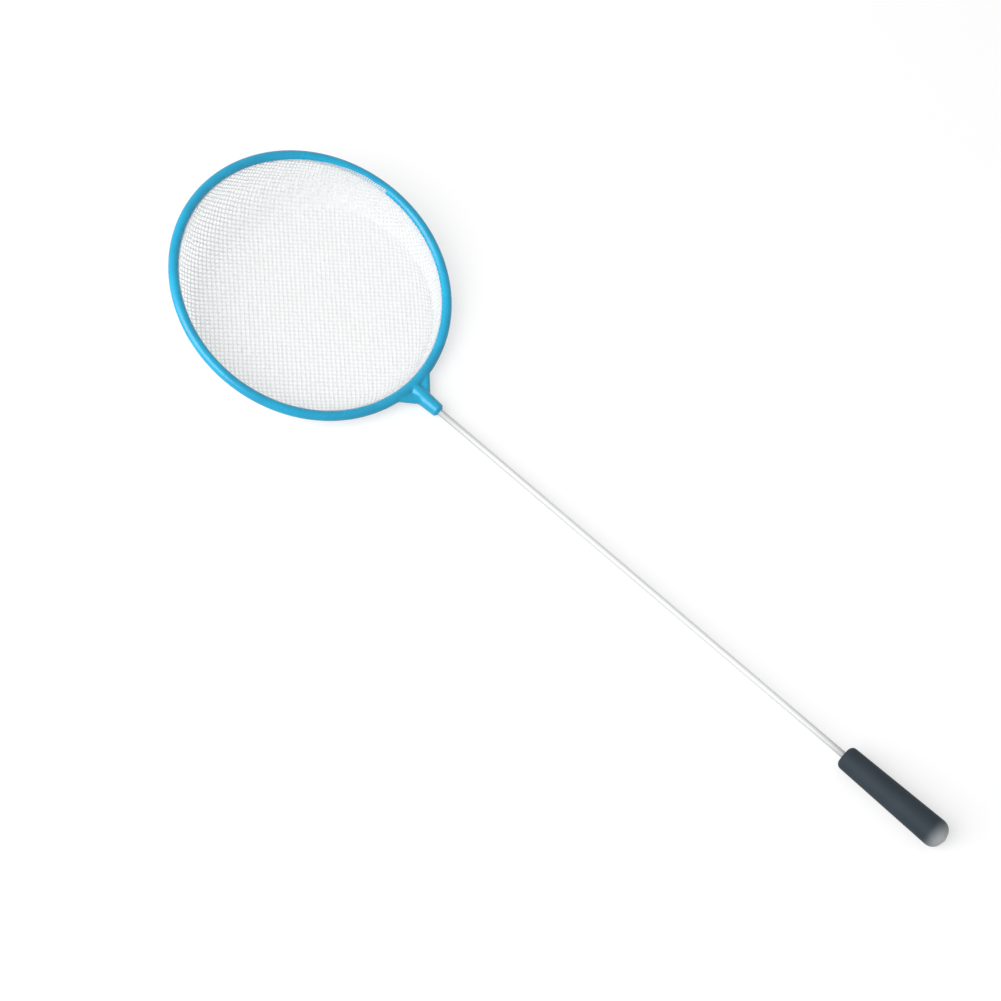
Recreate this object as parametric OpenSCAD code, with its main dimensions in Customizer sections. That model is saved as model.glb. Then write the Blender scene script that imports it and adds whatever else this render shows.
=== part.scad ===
// Aquarium fish net: a round plastic hoop with a shallow mesh bag, on a steel rod with a soft grip.
// It lies as it rests on a table: the rod almost level along +X, the hoop's far side lifted.

/* [Hoop] */
// Outer diameter of the hoop
hoop_d = 150; // [110:1:190]
// Diameter of the hoop's round section
tube_d = 5.2; // [4.6:0.1:7]
// Angle between the hoop's plane and the rod
hoop_tilt = 10; // [6:0.5:14]

/* [Socket] */
// How far the socket's tip stands out past the hoop's rim
socket_reach = 16.5; // [14:0.5:24]
// How far past the rim the rod's axis crosses the hoop's middle plane
axis_crossing = 7; // [5:0.5:9]
// Socket diameter where it joins the hoop
socket_base_d = 8.4; // [7.4:0.1:9]
// Socket diameter at its tip
socket_tip_d = 7; // [6:0.1:8]
// Bevel round the socket's tip
tip_bevel = 0.7; // [0.2:0.1:0.8]
// Depth of the socket's bore
socket_depth = 14; // [8:0.5:14.5]
// Width of the web that joins socket and hoop, where it leaves the hoop's rim
web_w = 27; // [18:0.5:32]
// Thickness of the web at the rim
web_t = 2.6; // [1.6:0.1:4]
// How far past the rim the web reaches along the socket
web_reach = 7; // [5:0.5:9]

/* [Net] */
// Diameter of the rolled hem held inside the hoop
hem_d = 1.1; // [0.8:0.1:1.4]
// Thickness of the net's flat edge between hem and bag
net_edge_t = 0.4; // [0.2:0.1:0.6]
// Thickness of the bag's plain wall
bag_t = 0.6; // [0.4:0.1:1]
// Depth of the bag below the hoop's middle plane
bag_depth = 22; // [16:1:60]
// Rounding between the bag's wall and its bottom
bag_round_r = 14; // [6:1:15]
// Lean of the bag's wall, inwards from the hoop down
bag_lean = 9; // [4:1:16]
// Distance between the openings in the bag's bottom, which stand for the mesh
mesh_pitch = 11.4; // [10:0.1:20]
// Side of each square opening
mesh_open = 6; // [3:0.1:8]
// Solid band between the hoop and the openings in the bag's wall
mesh_rim = 3; // [2:0.5:6]

/* [Rod] */
// Diameter of the steel rod
rod_d = 3.4; // [2.4:0.1:4]
// Length of rod that shows between socket and grip
rod_free_l = 267.5; // [120:0.5:400]

/* [Grip] */
// Length of the grip
grip_l = 65; // [50:1:120]
// Diameter of the grip at the rod
grip_front_d = 12.6; // [10:0.1:16]
// Diameter of the grip near its butt
grip_butt_d = 15; // [13:0.1:20]
// Rounding of the grip's shoulder at the rod
shoulder_r = 3; // [1:0.1:4]
// Rounding of the grip's butt
butt_r = 6.2; // [4:0.1:6.5]
// Depth of the grip's bore
grip_depth = 50; // [25:1:50]

/* [Hidden] */
$fn = 96;

// One overrun for every cut.
cut = 1;
// Gap between parts that are pressed or glued together.
fit_gap = 0.05;
// Gap between a soft part and its neighbour.
soft_gap = 0.3;
// Gap between the rod's ends and the bottoms of their bores.
end_gap = 0.3;
// Ground edge at both ends of the rod.
rod_chamfer = 0.5;
// Hollow in the grip's face where the rod goes in: how wide past the rod, and how deep.
dimple_w = 1.1;
dimple_t = 0.7;
// Slope of the low dome that closes the butt, which its rounding runs into.
dome_slope = 15;
// Steps of each rounding in an outline.
arc_steps = 12;

// The hoop's two halves snap together with a rib in a groove.
rib_w = 0.9;
rib_h = 0.8;
rib_gap = 0.06;
tube_r = tube_d / 2;
rim_r = hoop_d / 2;
ring_r = rim_r - tube_r;
hem_r = ring_r - tube_d / 5;
rib_r = ring_r + tube_d / 5;

// The rod's axis, its stations counted from where it crosses the hoop's middle plane.
crossing_r = rim_r + axis_crossing;
tip_at = socket_reach - axis_crossing;
base_at = -(axis_crossing - socket_base_d / 5);
rod_start = tip_at - socket_depth + end_gap;
grip_at = tip_at + rod_free_l;
rod_end = grip_at + grip_depth - end_gap;
butt_at = grip_at + grip_l;

// The web's two corners lie inside the rim, and its edges end inside the socket, almost as thick as it is.
web_x = sqrt(pow(rim_r, 2) - pow(web_w / 2, 2)) - web_t / 2;
web_y = (web_w - web_t) / 2;
web_l = rim_r + web_reach - web_x;
web_end_d = socket_tip_d + (socket_base_d - socket_tip_d) / 2;

// The butt's rounding runs about a ring, and the dome rises a little past its top.
butt_ring_r = grip_butt_d / 2 - butt_r;
butt_rise = (butt_ring_r + butt_r * sin(dome_slope)) * tan(dome_slope) - butt_r * (1 - cos(dome_slope));
butt_ring_z = grip_l - butt_rise - butt_r;

// The net rests on the socket's round base and on the grip's butt, and that gives the rod's slope.
base_r = socket_base_d / 2;
rest_run = grip_at + butt_ring_z - base_at;
rod_slope = atan2(butt_ring_r, rest_run) + asin((butt_r - base_r) / norm([rest_run, butt_ring_r]));
hoop_lift = hoop_tilt - rod_slope;
crossing_z = base_r - base_at * sin(rod_slope);
far_x = (crossing_r + ring_r) * cos(hoop_lift) + tube_r;
butt_x = butt_at * cos(rod_slope);
crossing_x = (far_x - butt_x) / 2;
far_z = crossing_z + (crossing_r + ring_r) * sin(hoop_lift) + tube_r;

// The bag hangs from the hem, and its lowest part lies on the table.
bag_r = ring_r - tube_r - soft_gap - net_edge_t;
bag_round_z = bag_round_r - bag_depth;
bag_round_x = bag_r + (bag_round_z * sin(bag_lean) - bag_round_r) / cos(bag_lean);

// Points of an arc about c, from angle a to angle b.
function arc(c, r, a, b) = [
    for (i = [0:arc_steps]) c + r * [cos(a + (b - a) * i / arc_steps), sin(a + (b - a) * i / arc_steps)]
];

// Places its children in the hoop's own frame: centre of the hoop, rod towards +X, mouth up.
module at_hoop() {
    translate([crossing_x, 0, crossing_z])
        rotate([0, hoop_lift, 0])
            translate([-crossing_r, 0, 0])
                children();
}

// Places its children on the rod's axis, with +Z towards the grip.
module at_rod() {
    translate([crossing_x, 0, crossing_z])
        rotate([0, 90 - rod_slope, 0])
            children();
}

// A ring about the hoop's axis, between two radii and two heights.
module band(inner_r, outer_r, low, high) {
    rotate_extrude()
        translate([inner_r, low])
            square([outer_r - inner_r, high - low]);
}

// Half of the hoop's round section, above the middle plane (side = 1) or below it (side = -1).
module half_ring(side) {
    rotate_extrude()
        intersection() {
            translate([ring_r, 0])
                circle(tube_r);
            translate([ring_r - tube_d, side > 0 ? 0 : -tube_d])
                square([2 * tube_d, tube_d]);
        }
}

// The channel that holds the hem, and the slit through which the net leaves it.
module hem_channel() {
    rotate_extrude() {
        translate([hem_r, 0])
            circle(hem_d / 2 + fit_gap);
        translate([ring_r - tube_d, -net_edge_t / 2 - fit_gap])
            square([hem_r - ring_r + tube_d, net_edge_t + 2 * fit_gap]);
    }
}

// The web between hoop and socket: a flat plate with a round edge on each side that thickens to the socket.
module web() {
    linear_extrude(web_t, center = true)
        polygon([[web_x, web_y], [web_x + web_l, 0], [web_x, -web_y]]);
    for (s = [-1, 1])
        translate([web_x, s * web_y]) {
            sphere(web_t / 2);
            rotate([0, 90, -s * atan2(web_y, web_l)])
                cylinder(h = norm([web_l, web_y]), r1 = web_t / 2, r2 = web_end_d / 2);
        }
}

// The round socket, with a ball at its inner end and a bevelled tip.
module socket() {
    translate([0, 0, base_at])
        sphere(base_r);
    rotate_extrude()
        polygon([
            [0, base_at],
            [base_r, base_at],
            [socket_tip_d / 2, tip_at - tip_bevel],
            [socket_tip_d / 2 - tip_bevel, tip_at],
            [0, tip_at]
        ]);
}

module hoop_front() {
    color("deepskyblue")
        difference() {
            union() {
                at_hoop() {
                    half_ring(1);
                    web();
                }
                at_rod()
                    socket();
            }
            at_hoop() {
                band(ring_r - tube_d, rim_r + fit_gap, -socket_base_d, 0);
                band(rib_r - rib_w / 2 - rib_gap, rib_r + rib_w / 2 + rib_gap, 0, rib_h + rib_gap);
                hem_channel();
            }
            at_rod()
                translate([0, 0, tip_at - socket_depth])
                    cylinder(h = socket_depth + cut, d = rod_d + 2 * fit_gap);
        }
}

module hoop_back() {
    color("dodgerblue")
        at_hoop()
            difference() {
                union() {
                    half_ring(-1);
                    band(rib_r - rib_w / 2, rib_r + rib_w / 2, -rib_h, rib_h);
                }
                hem_channel();
            }
}

module net_hem() {
    color("white")
        at_hoop()
            rotate_extrude() {
                translate([hem_r, 0])
                    circle(hem_d / 2);
                translate([bag_r + soft_gap, -net_edge_t / 2])
                    square([hem_r - bag_r - soft_gap, net_edge_t]);
            }
}

// The bag's outline from mouth to bottom, its wall moved in by inset and its mouth raised by rise.
function bag_outline(inset, rise) = concat(
    [[0, rise], [bag_r - inset / cos(bag_lean), rise], [bag_r - inset / cos(bag_lean), 0]],
    arc([bag_round_x, bag_round_z], bag_round_r - inset, -bag_lean, -90),
    [[0, inset - bag_depth]]
);

// What the bag's outline holds, down to the table or as far above it as the inset.
module bag_space(inset, rise) {
    intersection() {
        at_hoop()
            rotate_extrude()
                polygon(bag_outline(inset, rise));
        translate([crossing_x - 2 * crossing_r, -crossing_r, inset])
            cube([2 * crossing_r, 2 * crossing_r, far_z]);
    }
}

// The openings that stand for the mesh: a slantwise grid in the bag's bottom and one row in its wall.
module mesh_openings() {
    steps = floor(bag_r / mesh_pitch) - 1;
    rotate([0, 0, 45])
        for (i = [-steps:steps], j = [-steps:steps])
            if (norm([i, j]) * mesh_pitch <= bag_r - mesh_pitch)
                translate([i * mesh_pitch - mesh_open / 2, j * mesh_pitch - mesh_open / 2, -bag_depth - cut])
                    cube([mesh_open, mesh_open, bag_depth + cut]);
    row = floor(PI * bag_r / mesh_pitch);
    for (i = [0:row - 1])
        rotate([0, 0, i * 360 / row])
            translate([bag_r - mesh_rim, -mesh_open, -mesh_rim - mesh_open])
                cube([mesh_rim + cut, 2 * mesh_open, mesh_open]);
}

module net_bag() {
    color("whitesmoke")
        difference() {
            bag_space(0, 0);
            bag_space(bag_t, cut);
            at_hoop()
                mesh_openings();
        }
}

module rod() {
    color("silver")
        at_rod()
            rotate_extrude()
                polygon([
                    [0, rod_start],
                    [rod_d / 2 - rod_chamfer, rod_start],
                    [rod_d / 2, rod_start + rod_chamfer],
                    [rod_d / 2, rod_end - rod_chamfer],
                    [rod_d / 2 - rod_chamfer, rod_end],
                    [0, rod_end]
                ]);
}

// The grip's outline: hollow face, rounded shoulder, straight taper, rounded butt with a low dome.
function grip_outline() = concat(
    [[0, dimple_t], [rod_d / 2 + dimple_w / 2, dimple_t], [rod_d / 2 + dimple_w, 0]],
    arc([grip_front_d / 2 - shoulder_r, shoulder_r], shoulder_r, -90, 0),
    arc([butt_ring_r, butt_ring_z], butt_r, 0, 90 - dome_slope),
    [[0, grip_l]]
);

module grip() {
    color("darkslategray")
        at_rod()
            translate([0, 0, grip_at])
                difference() {
                    rotate_extrude()
                        polygon(grip_outline());
                    translate([0, 0, -cut])
                        cylinder(h = grip_depth + cut, d = rod_d + 2 * fit_gap);
                }
}

hoop_front();
hoop_back();
net_hem();
net_bag();
rod();
grip();
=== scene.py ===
# The looks of an aquarium fish net: a glossy blue hoop, a white knitted bag, a bright rod and a matt grip.
import math
import random

import bmesh
import bpy
from mathutils import Matrix, Vector


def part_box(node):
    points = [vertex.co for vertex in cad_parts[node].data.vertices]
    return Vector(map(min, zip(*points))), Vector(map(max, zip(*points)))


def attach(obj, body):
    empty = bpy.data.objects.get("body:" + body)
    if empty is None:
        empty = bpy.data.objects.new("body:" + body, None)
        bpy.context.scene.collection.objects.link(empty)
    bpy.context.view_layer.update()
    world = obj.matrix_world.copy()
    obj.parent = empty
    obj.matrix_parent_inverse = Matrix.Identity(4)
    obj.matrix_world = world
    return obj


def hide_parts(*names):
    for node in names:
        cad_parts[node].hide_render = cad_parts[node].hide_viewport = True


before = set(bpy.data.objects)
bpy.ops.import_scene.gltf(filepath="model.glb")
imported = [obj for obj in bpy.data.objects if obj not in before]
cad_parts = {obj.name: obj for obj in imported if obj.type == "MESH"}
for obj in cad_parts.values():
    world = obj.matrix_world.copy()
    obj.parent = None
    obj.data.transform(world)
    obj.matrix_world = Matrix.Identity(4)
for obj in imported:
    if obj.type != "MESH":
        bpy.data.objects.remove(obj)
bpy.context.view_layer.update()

MM = 0.001

# The camera stands where the photograph was taken from. Angles are in degrees.
CAMERA_AIM = Vector((-29.71 * MM, -13.62 * MM, 0))
CAMERA_DISTANCE = 1983.6 * MM
CAMERA_AZIMUTH = 18.904
CAMERA_ELEVATION = 58.197
CAMERA_ROLL = 24.487
LENS_MM = 142.05
SENSOR_MM = 36

# Light: the shares that the lamp, the window and the sky give to a level surface, and the floor's grey with
# the glow that makes it look white.
LAMP_SHARE = 0.52
LAMP_PLACE = Vector((-700 * MM, -2200 * MM, 1900 * MM))
LAMP_SIZE = (2800 * MM, 2800 * MM)
WINDOW_SHARE = 0.05
WINDOW_PLACE = Vector((-1950 * MM, -2350 * MM, 680 * MM))
WINDOW_SIZE = (2000 * MM, 900 * MM)
SKY_SHARE = 0.43
FLOOR_TONE = 0.5
FLOOR_GLOW = 0.55
FLOOR_SIZE = 40

# Blender's cloth and voxels suit larger things, so their trials run at a larger scale.
TRIAL_SCALE = 20

# The hoop: its round section in two halves, and the rounding of their edges outside and at the net's slit.
TUBE_R = 2.6 * MM
PART_GAP = 0.04 * MM
PART_BEVEL = 0.12 * MM
SLIT_BEVEL = 0.4 * MM
RING_STEPS = 240
SECTION_STEPS = 48

# The socket. Its lengths run back along the rod from its tip: to where its melted core starts and where its
# crown and its foot end, and to the end of the sleeve round the core.
ROD_R = 1.7 * MM
SOCKET_R = 3.5 * MM
SOCKET_TAPER = 0.05
CORE_L = 2.1 * MM
CROWN_L = 12 * MM
FOOT_L = 14.8 * MM
FOOT_R = 3.4 * MM
SLEEVE_L = 8 * MM
TIP_BEVEL = 0.7 * MM
DIMPLE_W = 0.45 * MM
DIMPLE_T = 0.5 * MM
EDGE_BEVEL = 0.15 * MM

# The web on each side of the socket, with the rounding at its corner, its root and the socket's foot.
WEB_W = 27 * MM
WEB_REACH = 7 * MM
WEB_EDGE_R = 1.4 * MM
WEB_ROOT_R = 2.9 * MM
WEB_FOOT_R = 2.2 * MM
WEB_RISE = 0.4 * MM

# Web, socket and rim are melted into one: the grain, the passes of smoothing, the arc of rim that takes
# part, and what the smoothing takes off a round bar of the rim's size.
MELT_GRAIN = 0.25 * MM
MELT_PASSES = 60
MELT_ARC = math.radians(16)
MELT_LOSS = 0.12 * MM

# The bag's outline below the hoop, from its middle plane down.
BAG_DEPTH = 22 * MM
BAG_ROUND_R = 14 * MM
BAG_LEAN = math.radians(9)

# The knitted net: the step from one thread crossing to the next, the reach of an opening towards its
# corners and its sides as shares of that step, the threads' thickness, how much more they have at the
# crossings, and how much longer the net is cut than the bag's outline.
KNIT_STEP = 2.4 * MM
KNIT_OPENING = (0.53, 0.4)
THREAD_T = 0.34 * MM
KNOT_SHARE = 1.25
BAG_SLACK = 1.045

# The net's fall: how near the rim a crossing is held, as a share of a step, how many millimetres above or
# below its place the rest may start, and the frames until it lies still.
HELD_SHARE = 0.3
START_SHAKE = 0.3
CLOTH_FRAMES = 60

# The net's edge. A band in the hoop's slit shows by a share of a step all round. Between two angles about
# the hoop a lap runs up its inner side, by an angle about its section. The lap tapers towards one end, and
# waves by a share of its width.
HEM_SHOWN = 0.15
LAP_FROM = math.radians(98.5)
LAP_TO = math.radians(152)
LAP_TURN = math.radians(44)
LAP_TAPER = 1.35
LAP_WAVE = 0.06
LAP_WAVE_TURN = 40
LAP_LIFT = 0.22 * MM
LAP_STEP = 1.3 * MM
LAP_ROWS = 2
LAP_OPENING = (0.3, 0.27)

# The turns of a thread's twist in one step, along the thread and across it.
TWIST_ALONG = 5
TWIST_ACROSS = 6

# The painted pale highlight at the grip's butt: its length and strength.
PAINTED_SHEEN_L = 10 * MM
PAINTED_SHEEN_SHARE = 0.95


class Socket:
    """An output of a shader node that takes part in Python sums: each operator adds a Math node."""

    def __init__(self, shader, out):
        self.shader = shader
        self.out = out

    def math(self, operation, first, second=0):
        return self.shader.node("Math", {"operation": operation}, {0: first, 1: second})

    def __add__(self, other):
        return self.math("ADD", self, other)

    def __radd__(self, other):
        return self.math("ADD", other, self)

    def __sub__(self, other):
        return self.math("SUBTRACT", self, other)

    def __rsub__(self, other):
        return self.math("SUBTRACT", other, self)

    def __mul__(self, other):
        return self.math("MULTIPLY", self, other)

    def __rmul__(self, other):
        return self.math("MULTIPLY", other, self)

    def __truediv__(self, other):
        return self.math("DIVIDE", self, other)

    def __pow__(self, other):
        return self.math("POWER", self, other)

    def __abs__(self):
        return self.math("ABSOLUTE", self)


class Shader:
    """The node tree of a material or of the world."""

    def __init__(self, owner):
        owner.use_nodes = True
        self.tree = owner.node_tree
        self.tree.nodes.clear()

    def node(self, kind, settings, inputs, output=0):
        """Adds one node. Its settings come first, then the values or links of its inputs."""
        node = self.tree.nodes.new("ShaderNode" + kind)
        for name, value in settings.items():
            if name == "stops":
                set_stops(node.color_ramp, value)
            else:
                setattr(node, name, value)
        for key, value in inputs.items():
            if isinstance(value, Socket):
                self.tree.links.new(value.out, node.inputs[key])
            else:
                node.inputs[key].default_value = value
        return Socket(self, node.outputs[output])

    def finish(self, kind, shader):
        """Links the last shader to the tree's output."""
        node = self.tree.nodes.new("ShaderNode" + kind)
        self.tree.links.new(shader.out, node.inputs["Surface"])


def set_stops(ramp, stops):
    """Gives a colour ramp its stops, each a place and a colour."""
    while len(ramp.elements) < len(stops):
        ramp.elements.new(1)
    for element, (place, colour) in zip(ramp.elements, stops):
        element.position = place
        element.color = colour


def rgb(*screen):
    """A colour as it is seen on a screen, from 0 to 255, in Blender's linear values."""
    parts = [v / 255 for v in screen]
    return tuple(p / 12.92 if p < 0.04 else ((p + 0.055) / 1.055) ** 2.4 for p in parts) + (1,)


def new_object(name, bm):
    """Makes an object of a finished bmesh."""
    mesh = bpy.data.meshes.new(name)
    bm.to_mesh(mesh)
    bm.free()
    piece = bpy.data.objects.new(name, mesh)
    bpy.context.scene.collection.objects.link(piece)
    return piece


def add(bm, extra):
    """Adds another finished bmesh to bm."""
    mesh = bpy.data.meshes.new("extra")
    extra.to_mesh(mesh)
    extra.free()
    bm.from_mesh(mesh)
    bpy.data.meshes.remove(mesh)


def scale(bm, factor):
    bmesh.ops.scale(bm, vec=(factor, factor, factor), verts=bm.verts)


def smooth_faces(bm, sharp=math.radians(40)):
    """Shades every face smooth, but keeps edges that turn by more than the angle sharp."""
    for face in bm.faces:
        face.smooth = True
    for edge in bm.edges:
        edge.smooth = edge.calc_face_angle(0) < sharp


def paint(piece, material):
    """Gives every slot of a piece this material."""
    if not piece.data.materials:
        piece.data.materials.append(material)
    for i in range(len(piece.data.materials)):
        piece.data.materials[i] = material


# Places worked out from the frame.

def hoop_place():
    """The hoop's own frame, from the box of the thin hem that lies in its middle plane."""
    low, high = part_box("net_hem")
    half = (high - low) / 2
    spare = half.x + half.z - half.y
    round_r = spare - math.sqrt(spare ** 2 - (half.x ** 2 + half.z ** 2 - half.y ** 2))
    lift = math.asin((half.z - round_r) / (half.y - round_r))
    return Matrix.Translation((low + high) / 2) @ Matrix.Rotation(lift, 4, "Y")


def rod_place():
    """The rod's own frame: the middle of the socket's tip, with Z along the rod towards the grip."""
    low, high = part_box("rod")
    slope = math.atan2(high.z - low.z - 2 * ROD_R, high.x - low.x)
    tip_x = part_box("hoop_front")[1].x
    tip = Vector((tip_x, 0, low.z + ROD_R + (tip_x - low.x) * math.tan(slope)))
    return Matrix.Translation(tip) @ Matrix.Rotation(math.pi / 2 - slope, 4, "Y")


HOOP = hoop_place()
ROD = rod_place()
RIM_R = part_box("hoop_back")[1].y
RING_R = RIM_R - TUBE_R
INNER_R = RING_R - TUBE_R


# Camera, floor and light.

def place_camera():
    azimuth = math.radians(CAMERA_AZIMUTH)
    elevation = math.radians(CAMERA_ELEVATION)
    roll = math.radians(CAMERA_ROLL)
    level = math.cos(elevation)
    back = Vector((math.sin(azimuth) * level, -math.cos(azimuth) * level, math.sin(elevation)))
    side = Vector((0, 0, 1)).cross(back).normalized()
    right = side * math.cos(roll) + back.cross(side) * math.sin(roll)
    turned = Matrix((right, back.cross(right), back)).transposed()
    camera = bpy.data.objects.new("camera", bpy.data.cameras.new("camera"))
    camera.matrix_world = Matrix.Translation(CAMERA_AIM + back * CAMERA_DISTANCE) @ turned.to_4x4()
    camera.data.lens = LENS_MM
    camera.data.sensor_width = SENSOR_MM
    camera.data.clip_end = 100
    bpy.context.scene.collection.objects.link(camera)
    bpy.context.scene.camera = camera


def shown(shader):
    """1 for what is seen, straight, in a reflection or through a clear body, and 0 for light that falls."""
    camera = shader.node("LightPath", {}, {}, "Is Camera Ray")
    glossy = shader.node("LightPath", {}, {}, "Is Glossy Ray")
    transmission = shader.node("LightPath", {}, {}, "Is Transmission Ray")
    return camera + glossy + transmission


def make_floor():
    bm = bmesh.new()
    bmesh.ops.create_grid(bm, x_segments=1, y_segments=1, size=FLOOR_SIZE / 2)
    floor = new_object("floor", bm)
    material = bpy.data.materials.new("white_floor")
    shader = Shader(material)
    body = shader.node("BsdfDiffuse", {}, {"Color": (FLOOR_TONE, FLOOR_TONE, FLOOR_TONE, 1)})
    glow = shader.node("Emission", {}, {"Color": (1, 1, 1, 1), "Strength": shown(shader) * FLOOR_GLOW})
    shader.finish("OutputMaterial", shader.node("AddShader", {}, {0: body, 1: glow}))
    paint(floor, material)


def add_lamp(name, share, place, size):
    """A soft lamp aimed at the middle of the net, which gives a level surface this share of its light."""
    lamp = bpy.data.objects.new(name, bpy.data.lights.new(name, "AREA"))
    lamp.data.shape = "ELLIPSE"
    lamp.data.size, lamp.data.size_y = size
    lamp.location = place
    lamp.rotation_mode = "QUATERNION"
    lamp.rotation_quaternion = place.to_track_quat("Z", "Y")
    # A white surface facing a round lamp renders at energy / (pi ** 2 * (distance ** 2 + radius ** 2)).
    slant = place.z / place.length
    lamp.data.energy = share * math.pi ** 2 * (place.length_squared + size[0] * size[1] / 4) / slant
    bpy.context.scene.collection.objects.link(lamp)


def light_scene():
    """A wide lamp at the photograph's lower left, a low window further to the left, and a white sky."""
    add_lamp("lamp", LAMP_SHARE, LAMP_PLACE, LAMP_SIZE)
    add_lamp("window", WINDOW_SHARE, WINDOW_PLACE, WINDOW_SIZE)

    world = bpy.data.worlds.new("sky")
    bpy.context.scene.world = world
    shader = Shader(world)
    strength = SKY_SHARE + shown(shader) * (1 - SKY_SHARE)
    sky = shader.node("Background", {}, {"Color": (1, 1, 1, 1), "Strength": strength})
    shader.finish("OutputWorld", sky)


# Materials.

def plastic():
    """Glossy blue plastic with a slightly uneven skin."""
    material = bpy.data.materials.new("blue_plastic")
    shader = Shader(material)
    place = shader.node("TexCoord", {}, {}, "Object")
    cloud = shader.node("TexNoise", {}, {"Vector": place, "Scale": 90, "Detail": 3})
    skin = shader.node("TexNoise", {}, {"Vector": place, "Scale": 1800, "Detail": 2})
    blues = [(0.3, rgb(1, 152, 193)), (0.7, rgb(4, 166, 207))]
    colour = shader.node("ValToRGB", {"stops": blues}, {"Fac": cloud})
    bump = shader.node("Bump", {}, {"Strength": 0.08, "Distance": 0.0002, "Height": skin}, "Normal")
    shader.finish("OutputMaterial", shader.node("BsdfPrincipled", {}, {
        "Base Color": colour,
        "Roughness": 0.22 + cloud * 0.1,
        "Normal": bump,
    }))
    return material


def knit():
    """White twisted yarn that lets about half of the light through. Its twist follows the piece's own UV."""
    material = bpy.data.materials.new("white_knit")
    shader = Shader(material)
    step = shader.node("UVMap", {}, {})
    across = shader.node("SeparateXYZ", {}, {"Vector": step}, "X")
    along = shader.node("SeparateXYZ", {}, {"Vector": step}, "Y")
    upright = thread_relief(across, along)
    thread = upright.math("MAXIMUM", upright, thread_relief(along, across))
    place = shader.node("TexCoord", {}, {}, "Object")
    fluff = shader.node("TexNoise", {}, {"Vector": place, "Scale": 2600, "Detail": 3})
    whites = [(0.2, rgb(239, 241, 242)), (0.8, rgb(247, 248, 248))]
    colour = shader.node("ValToRGB", {"stops": whites}, {"Fac": fluff})
    relief = thread + fluff * 0.4
    bump = shader.node("Bump", {}, {"Strength": 0.3, "Distance": 0.0001, "Height": relief}, "Normal")
    body = shader.node("BsdfPrincipled", {}, {"Base Color": colour, "Roughness": 0.85, "Normal": bump})
    through = shader.node("BsdfTranslucent", {}, {"Color": rgb(249, 250, 250), "Normal": bump})
    shader.finish("OutputMaterial", shader.node("MixShader", {}, {0: 0.55, 1: body, 2: through}))
    return material


def thread_relief(across, along):
    """The height of the threads that run one way: highest along their middle, and ridged by their twist."""
    off = abs(across.math("FRACT", across + 0.5) - 0.5) / (0.5 - KNIT_OPENING[1])
    turns = along * TWIST_ALONG + across * TWIST_ACROSS
    twist = across.math("SINE", turns * (2 * math.pi)) * 0.5
    return twist - off


def steel():
    """Drawn steel, with fine lines along the rod. Towards the socket and the grip it is painted darker:
    painted shade for their reflections.
    """
    material = bpy.data.materials.new("bright_steel")
    shader = Shader(material)
    place = shader.node("TexCoord", {}, {}, "Object")
    stretched = shader.node("Mapping", {}, {"Vector": place, "Scale": (12, 3000, 3000)})
    lines = shader.node("TexNoise", {}, {"Vector": stretched, "Scale": 1, "Detail": 4})
    start, end = ROD.translation.x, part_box("grip")[0].x
    station = shader.node("SeparateXYZ", {}, {"Vector": place}, "X")
    off_middle = abs(station - (start + end) / 2) / ((end - start) / 2)
    # Painted shade: the colour darkens towards both ends, standing in for the reflections of the socket and
    # the grip.
    lines_and_end_shade = lines * 0.4 + (1 - off_middle ** 8 * 0.5) * 0.6
    greys = [(0, rgb(120, 121, 121)), (1, rgb(224, 225, 225))]
    colour = shader.node("ValToRGB", {"stops": greys}, {"Fac": lines_and_end_shade})
    bump = shader.node("Bump", {}, {"Strength": 0.12, "Distance": 0.0001, "Height": lines}, "Normal")
    shader.finish("OutputMaterial", shader.node("BsdfPrincipled", {}, {
        "Base Color": colour,
        "Metallic": 1.0,
        "Roughness": 0.7 + lines * 0.16,
        "Normal": bump,
    }))
    return material


def rubber():
    """Matt dark rubber with a fine grain, and a painted pale highlight that grows towards the butt's end."""
    material = bpy.data.materials.new("slate_rubber")
    shader = Shader(material)
    place = shader.node("TexCoord", {}, {}, "Object")
    cloud = shader.node("TexNoise", {}, {"Vector": place, "Scale": 60, "Detail": 4})
    grain = shader.node("TexNoise", {}, {"Vector": place, "Scale": 2500, "Detail": 3})
    slates = [(0.3, rgb(33, 44, 52)), (0.7, rgb(43, 53, 61))]
    dark = shader.node("ValToRGB", {"stops": slates}, {"Fac": cloud})
    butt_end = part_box("grip")[1].x
    station = shader.node("SeparateXYZ", {}, {"Vector": place}, "X")
    near_end = (station - (butt_end - PAINTED_SHEEN_L)) / PAINTED_SHEEN_L + (cloud - 0.5) * 0.3
    painted_sheen = near_end.math("MAXIMUM", near_end, 0) ** 2 * PAINTED_SHEEN_SHARE
    # Painted highlight: the colour turns pale towards the butt's end, standing in for light on the rounded
    # end.
    colour = shader.node("Mix", {"data_type": "RGBA"}, {0: painted_sheen, 6: dark, 7: rgb(216, 220, 222)}, 2)
    bump = shader.node("Bump", {}, {"Strength": 0.25, "Distance": 0.0002, "Height": grain}, "Normal")
    shader.finish("OutputMaterial", shader.node("BsdfPrincipled", {}, {
        "Base Color": colour,
        "Roughness": 0.6 + cloud * 0.15,
        "Specular IOR Level": 0.28,
        "Normal": bump,
    }))
    return material


# The hoop.

def spin(bm, angle, steps):
    """Turns all of bm about Z, and closes it where it comes round."""
    everything = bm.verts[:] + bm.edges[:] + bm.faces[:]
    bmesh.ops.spin(
        bm, geom=everything, cent=(0, 0, 0), axis=(0, 0, 1), angle=angle, steps=steps,
        use_merge=angle == 2 * math.pi,
    )
    bmesh.ops.remove_doubles(bm, verts=bm.verts, dist=0.001 * MM)


def round_corner(bm, corner, size):
    bmesh.ops.bevel(
        bm, geom=[corner], offset=size, offset_type="OFFSET", segments=4,
        profile=0.5, affect="VERTICES", material=-1,
    )


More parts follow.
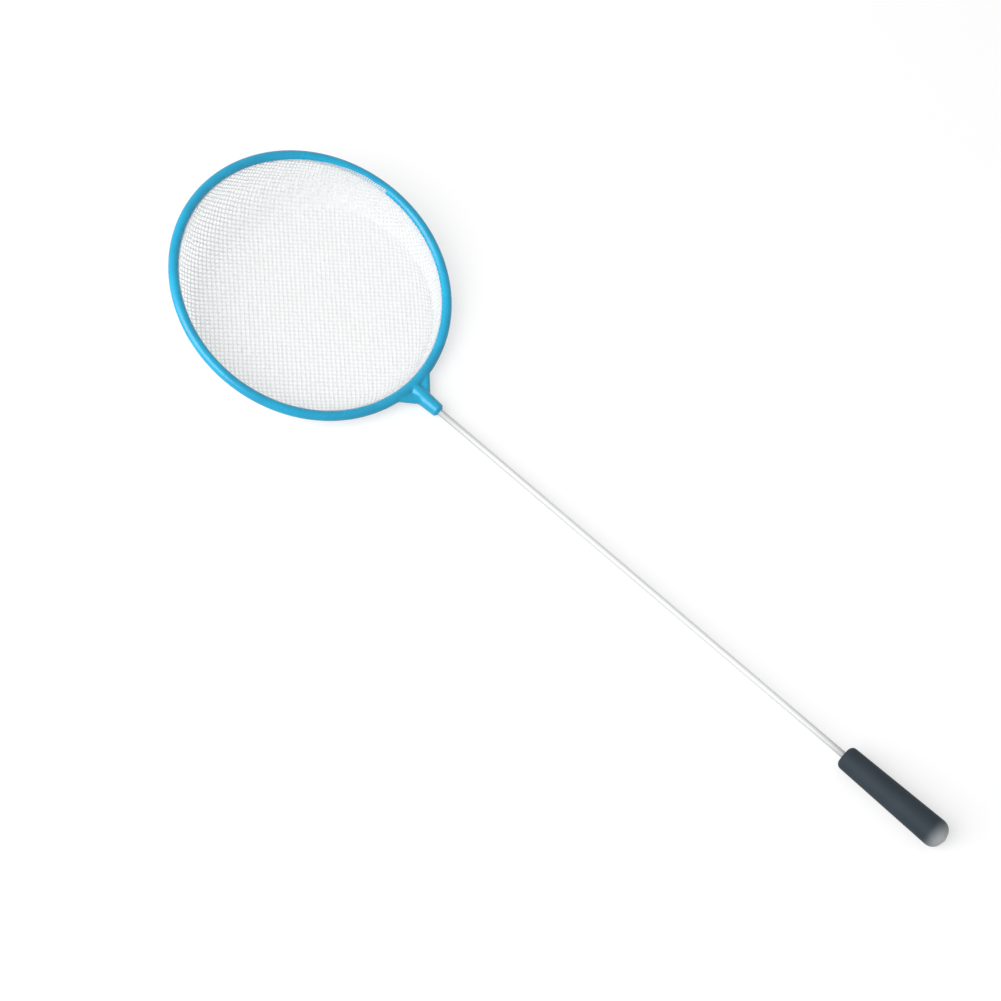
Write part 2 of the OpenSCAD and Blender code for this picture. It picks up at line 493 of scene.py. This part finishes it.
def half_ring(side):
    """One half of the hoop's round section, above the middle plane (side = 1) or below it (side = -1)."""
    bm = bmesh.new()
    upright = Matrix.Translation((RING_R, 0, 0)) @ Matrix.Rotation(math.pi / 2, 4, "X")
    bmesh.ops.create_circle(bm, segments=SECTION_STEPS, radius=TUBE_R, matrix=upright)
    bmesh.ops.bisect_plane(
        bm, geom=bm.verts[:] + bm.edges[:], plane_co=(0, 0, side * PART_GAP / 2), plane_no=(0, 0, side),
        clear_inner=True,
    )
    ends = sorted((v for v in bm.verts if len(v.link_edges) == 1), key=lambda v: v.co.x)
    bmesh.ops.contextual_create(bm, geom=ends)
    for corner, size in zip(ends, (SLIT_BEVEL, PART_BEVEL)):
        round_corner(bm, corner, size)
    spin(bm, 2 * math.pi, RING_STEPS)
    bmesh.ops.recalc_face_normals(bm, faces=bm.faces)
    bmesh.ops.transform(bm, matrix=HOOP, verts=bm.verts)
    return bm


def stretch_skin(bm, *balls):
    """Adds the skin stretched round some balls, each a place and a radius."""
    skin = bmesh.new()
    for place, radius in balls:
        bmesh.ops.create_uvsphere(
            skin, u_segments=32, v_segments=16, radius=radius, matrix=Matrix.Translation(place),
        )
    bmesh.ops.delete(skin, geom=skin.edges[:], context="EDGES_FACES")
    bmesh.ops.convex_hull(skin, input=skin.verts[:])
    bmesh.ops.delete(skin, geom=[v for v in skin.verts if not v.link_faces], context="VERTS")
    add(bm, skin)


def melt(bm):
    """Melts overlapping bodies into one skin, with a soft fillet where they meet."""
    scale(bm, TRIAL_SCALE)
    trial = new_object("melt_trial", bm)
    grain = trial.modifiers.new("grain", "REMESH")
    grain.mode = "VOXEL"
    grain.voxel_size = MELT_GRAIN * TRIAL_SCALE
    ease = trial.modifiers.new("ease", "SMOOTH")
    ease.factor = 0.5
    ease.iterations = MELT_PASSES
    melted = bmesh.new()
    melted.from_mesh(trial.evaluated_get(bpy.context.evaluated_depsgraph_get()).data)
    bpy.data.objects.remove(trial)
    scale(melted, 1 / TRIAL_SCALE)
    return melted


def socket_root():
    """The web and the socket's inner part where they run into the rim, as one smooth body."""
    bm = bmesh.new()
    start = Matrix.Rotation(-MELT_ARC, 4, "Z") @ Matrix.Translation((RING_R, 0, 0))
    upright = start @ Matrix.Rotation(math.pi / 2, 4, "X")
    bmesh.ops.create_circle(bm, cap_ends=True, segments=32, radius=TUBE_R + MELT_LOSS, matrix=upright)
    spin(bm, 2 * MELT_ARC, 24)
    bmesh.ops.holes_fill(bm, edges=bm.edges, sides=0)
    bmesh.ops.transform(bm, matrix=HOOP, verts=bm.verts)

    near_tip = ROD @ Vector((0, 0, -CORE_L))
    crown = ROD @ Vector((0, 0, -CROWN_L))
    crown_r = SOCKET_R + SOCKET_TAPER * CROWN_L + MELT_LOSS
    foot = ROD @ Vector((0, 0, -FOOT_L))
    foot.z = FOOT_R
    stretch_skin(bm, (near_tip, SOCKET_R), (crown, crown_r), (foot, FOOT_R))
    stretch_skin(bm, (crown, crown_r), (HOOP @ Vector((RING_R, 0, 0)), TUBE_R))

    middle = HOOP @ Vector((RIM_R + WEB_REACH, 0, 0))
    for side in (-1, 1):
        corner_x = math.sqrt(RIM_R ** 2 - (WEB_W / 2) ** 2) - WEB_EDGE_R
        corner = HOOP @ Vector((corner_x, side * (WEB_W / 2 - WEB_EDGE_R), WEB_RISE))
        stretch_skin(bm, (corner, WEB_EDGE_R), (middle, WEB_ROOT_R), (foot, WEB_FOOT_R))
    return melt(bm)


def socket_sleeve():
    """The socket's outer part: a sleeve with a bevelled rim and a dimple where the rod goes in."""
    bm = bmesh.new()
    outline = [
        (0, -SLEEVE_L),
        (SOCKET_R + SOCKET_TAPER * SLEEVE_L, -SLEEVE_L),
        (SOCKET_R, -TIP_BEVEL),
        (SOCKET_R - TIP_BEVEL, 0),
        (ROD_R + DIMPLE_W, 0),
        (ROD_R, -DIMPLE_T),
        (0, -DIMPLE_T),
    ]
    corners = [bm.verts.new((radius, 0, station)) for radius, station in outline]
    for first, second in zip(corners, corners[1:]):
        bm.edges.new((first, second))
    for corner in corners[2:5]:
        round_corner(bm, corner, EDGE_BEVEL)
    spin(bm, 2 * math.pi, SECTION_STEPS)
    bmesh.ops.recalc_face_normals(bm, faces=bm.faces)
    bmesh.ops.transform(bm, matrix=ROD, verts=bm.verts)
    return bm


def make_hoop():
    """Both halves of the hoop. The front one carries the web and the socket."""
    front = half_ring(1)
    add(front, socket_root())
    add(front, socket_sleeve())
    smooth_faces(front)
    back = half_ring(-1)
    smooth_faces(back)
    return new_object("front_moulding", front), new_object("back_moulding", back)


# The net.

WALL_FOOT_R = BAG_ROUND_R * (1 - math.sin(BAG_LEAN))
WALL_L = (BAG_DEPTH - WALL_FOOT_R) / math.cos(BAG_LEAN)
ROUND_L = BAG_ROUND_R * (math.pi / 2 - BAG_LEAN)
WALL_END_R = INNER_R - WALL_L * math.sin(BAG_LEAN)
BOTTOM_R = WALL_END_R - BAG_ROUND_R * math.cos(BAG_LEAN)
RIM_AT = BOTTOM_R + ROUND_L + WALL_L


def bag_profile(along):
    """Radius and height in the hoop's frame of a point of the bag, this far along from its middle."""
    if along < BOTTOM_R:
        return along, -BAG_DEPTH
    if along < BOTTOM_R + ROUND_L:
        turn = (along - BOTTOM_R) / BAG_ROUND_R
        return BOTTOM_R + BAG_ROUND_R * math.sin(turn), BAG_ROUND_R * (1 - math.cos(turn)) - BAG_DEPTH
    left = RIM_AT - along
    if left > 0:
        return INNER_R - left * math.sin(BAG_LEAN), -left * math.cos(BAG_LEAN)
    return INNER_R - left, 0


def round_cut():
    """The flat cut of the bag, as square cells trimmed round."""
    limit = RIM_AT * BAG_SLACK + KNIT_STEP / 2
    cells = math.ceil(limit / KNIT_STEP)
    bm = bmesh.new()
    bmesh.ops.create_grid(bm, x_segments=2 * cells, y_segments=2 * cells, size=cells * KNIT_STEP)
    outside = [f for f in bm.faces if f.calc_center_median().length > limit]
    bmesh.ops.delete(bm, geom=outside, context="FACES")
    return bm


def hung(flat):
    """Where a point of the flat cut starts, in the hoop's frame. The cut lies slantwise to the rod."""
    radius, height = bag_profile(flat.length / BAG_SLACK)
    turn = math.atan2(flat.y, flat.x) + math.pi / 4
    return Vector((radius * math.cos(turn), radius * math.sin(turn), height))


def crossing(flat):
    """The number of a thread crossing in the flat cut."""
    return round(flat.x / KNIT_STEP), round(flat.y / KNIT_STEP)


def settle(cloth, held):
    """Lets the cloth hang and come to rest on a table, and returns where its points lie."""
    group = cloth.vertex_groups.new(name="held")
    group.add(held, 1.0, "REPLACE")
    modifier = cloth.modifiers.new("cloth", "CLOTH")
    modifier.settings.quality = 8
    modifier.settings.mass = 0.05
    modifier.settings.air_damping = 2
    modifier.settings.tension_stiffness = 30
    modifier.settings.compression_stiffness = 30
    modifier.settings.shear_stiffness = 4
    modifier.settings.bending_stiffness = 0.3
    modifier.settings.vertex_group_mass = "held"
    modifier.collision_settings.use_collision = True
    modifier.collision_settings.distance_min = THREAD_T * TRIAL_SCALE
    modifier.point_cache.frame_end = CLOTH_FRAMES

    bm = bmesh.new()
    bmesh.ops.create_grid(bm, x_segments=1, y_segments=1, size=TRIAL_SCALE)
    table = new_object("table_trial", bm)
    table.modifiers.new("collision", "COLLISION")
    table.collision.thickness_outer = THREAD_T * TRIAL_SCALE / 2
    for step in range(1, CLOTH_FRAMES + 1):
        bpy.context.scene.frame_set(step)
    settled = cloth.evaluated_get(bpy.context.evaluated_depsgraph_get()).data
    places = [v.co.copy() for v in settled.vertices]
    bpy.context.scene.frame_set(1)
    bpy.data.objects.remove(table)
    return places


def drop_net():
    """Lets the net hang from the hoop and settle on the table, and returns each crossing's place."""
    bm = round_cut()
    numbers = [crossing(v.co) for v in bm.verts]
    chance = random.Random(4)
    held = []
    for i, v in enumerate(bm.verts):
        place = hung(v.co)
        if v.co.length / BAG_SLACK >= RIM_AT - KNIT_STEP * HELD_SHARE:
            held.append(i)
        else:
            place.z += chance.uniform(-START_SHAKE, START_SHAKE) * MM
        place = HOOP @ place
        place.z = max(place.z, THREAD_T)
        v.co = place * TRIAL_SCALE
    places = [v.co.copy() for v in bm.verts]
    cloth = new_object("cloth_trial", bm)
    places = settle(cloth, held)
    bpy.data.objects.remove(cloth)
    return {number: place / TRIAL_SCALE for number, place in zip(numbers, places)}


def on_cloth(flat, places):
    """Where a point of the flat cut lies on the settled cloth, between the four crossings round it."""
    column = math.floor(flat.x / KNIT_STEP)
    row = math.floor(flat.y / KNIT_STEP)
    across = flat.x / KNIT_STEP - column
    along = flat.y / KNIT_STEP - row
    place = Vector((0, 0, 0))
    for number, weight in (
        ((column, row), (1 - across) * (1 - along)),
        ((column + 1, row), across * (1 - along)),
        ((column, row + 1), (1 - across) * along),
        ((column + 1, row + 1), across * along),
    ):
        if weight > 0.001:
            place += places.get(number, places[crossing(flat)]) * weight
    return place


def laid(flat, place):
    """Lays a point of the flat cut where place says, as far off the cloth's face as it is off the cut."""
    spot = Vector((flat.x, flat.y, 0))
    if flat.z == 0:
        return place(spot)
    across = Vector((KNIT_STEP / 20, 0, 0))
    along = Vector((0, KNIT_STEP / 20, 0))
    upward = (place(spot + across) - place(spot - across)).cross(place(spot + along) - place(spot - along))
    return place(spot) + upward.normalized() * flat.z


def knit_cells(bm, step, opening, place):
    """Turns the square cells of a flat cut into openings between threads, laid where place says."""
    # The inset gives each cell its own corners, and the cut edges give it sides, which then move outwards.
    cells = list(bm.faces)
    bmesh.ops.inset_individual(bm, faces=cells, thickness=step * 0.05, use_even_offset=True)
    corners = {v for cell in cells for v in cell.verts}
    knots = {v for v in bm.verts if v not in corners}
    long_edges = [edge for edge in bm.edges if (edge.verts[0] in corners) == (edge.verts[1] in corners)]
    bmesh.ops.subdivide_edges(bm, edges=long_edges, cuts=1)
    holes = [face for face in bm.faces if len(face.verts) == 8]
    rims = {v for hole in holes for v in hole.verts}
    for hole in holes:
        middle = hole.calc_center_median()
        for v in hole.verts:
            reach = opening[0] if v in corners else opening[1]
            v.co = middle + (v.co - middle).normalized() * reach * step
    bmesh.ops.delete(bm, geom=holes, context="FACES")

    uv = bm.loops.layers.uv.new("knit")
    for face in bm.faces:
        for loop in face.loops:
            loop[uv].uv = loop.vert.co.xy / step
    for v in bm.verts:
        if v not in rims:
            v.co.z = THREAD_T / 2 * (KNOT_SHARE if v in knots else 1)
    outline = [edge for edge in bm.edges if edge.is_boundary and not rims.intersection(edge.verts)]
    under = bmesh.ops.duplicate(bm, geom=bm.verts[:] + bm.edges[:] + bm.faces[:])["geom"]
    side = bmesh.ops.extrude_edge_only(bm, edges=outline)["geom"]
    for part in under + side:
        if isinstance(part, bmesh.types.BMVert):
            part.co.z *= -1
    bmesh.ops.remove_doubles(bm, verts=bm.verts, dist=0.001 * MM)
    for v in bm.verts:
        v.co = laid(v.co, place)
    bmesh.ops.recalc_face_normals(bm, faces=bm.faces)
    smooth_faces(bm, math.radians(90))


def make_bag():
    places = drop_net()
    bm = round_cut()
    knit_cells(bm, KNIT_STEP, KNIT_OPENING, lambda flat: on_cloth(flat, places))
    return new_object("knitted_bag", bm)


def about_hoop(turn, radius, height):
    """A point of the hoop's own frame, by its angle about the hoop."""
    return HOOP @ Vector((radius * math.cos(turn), radius * math.sin(turn), height))


def lapped(flat, length):
    """Where a point of the lap's flat cut lies: out of the slit, and up over the hoop's inner side."""
    share = flat.x / length
    turn = LAP_FROM + (LAP_TO - LAP_FROM) * share
    width = min(1, LAP_TAPER * (1 - share)) * (1 + LAP_WAVE * math.sin(share * LAP_WAVE_TURN))
    section = math.pi - LAP_TURN * width * flat.y / (LAP_ROWS * LAP_STEP)
    reach = TUBE_R + LAP_LIFT
    return about_hoop(turn, RING_R + reach * math.cos(section), reach * math.sin(section))


def strip(columns, rows, step):
    """A flat strip of square cells, from the origin along X."""
    bm = bmesh.new()
    bmesh.ops.create_grid(bm, x_segments=columns, y_segments=rows, size=1)
    for v in bm.verts:
        v.co = Vector(((v.co.x + 1) * columns * step / 2, (v.co.y + 1) * rows * step / 2, 0))
    return bm


def make_hem():
    """The net's edge: a band in the hoop's slit all round, and the lap over the hoop's inner side."""
    columns = round(2 * math.pi * INNER_R / KNIT_STEP)
    hem = strip(columns, 1, KNIT_STEP)
    turn_per_length = 2 * math.pi / (columns * KNIT_STEP)
    knit_cells(
        hem, KNIT_STEP, KNIT_OPENING,
        lambda flat: about_hoop(turn_per_length * flat.x, INNER_R + flat.y - KNIT_STEP * HEM_SHOWN, 0),
    )

    columns = round((LAP_TO - LAP_FROM) * INNER_R / LAP_STEP)
    lap = strip(columns, LAP_ROWS, LAP_STEP)
    knit_cells(lap, LAP_STEP, LAP_OPENING, lambda flat: lapped(flat, columns * LAP_STEP))
    add(hem, lap)
    return new_object("net_edge", hem)


def stand_for(piece, slot, *nodes):
    """Puts a piece on the part's one body in place of its CAD nodes."""
    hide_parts(*nodes)
    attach(piece, "root")


place_camera()
make_floor()
light_scene()

blue = plastic()
front, back = make_hoop()
paint(front, blue)
paint(back, blue)
stand_for(front, "hoop_plastic", "hoop_front")
stand_for(back, "hoop_plastic", "hoop_back")

yarn = knit()
hem = make_hem()
bag = make_bag()
paint(hem, yarn)
paint(bag, yarn)
stand_for(hem, "net_mesh", "net_hem")
stand_for(bag, "net_mesh", "net_bag")
cut_d = 2 * RIM_AT * BAG_SLACK
thread_share = 1 - 2 * math.sqrt(2) * KNIT_OPENING[0] * KNIT_OPENING[1]
cut_area = math.pi / 4 * cut_d ** 2 * thread_share

paint(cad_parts["rod"], steel())
paint(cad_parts["grip"], rubber())

bpy.context.scene.view_settings.view_transform = "Standard"
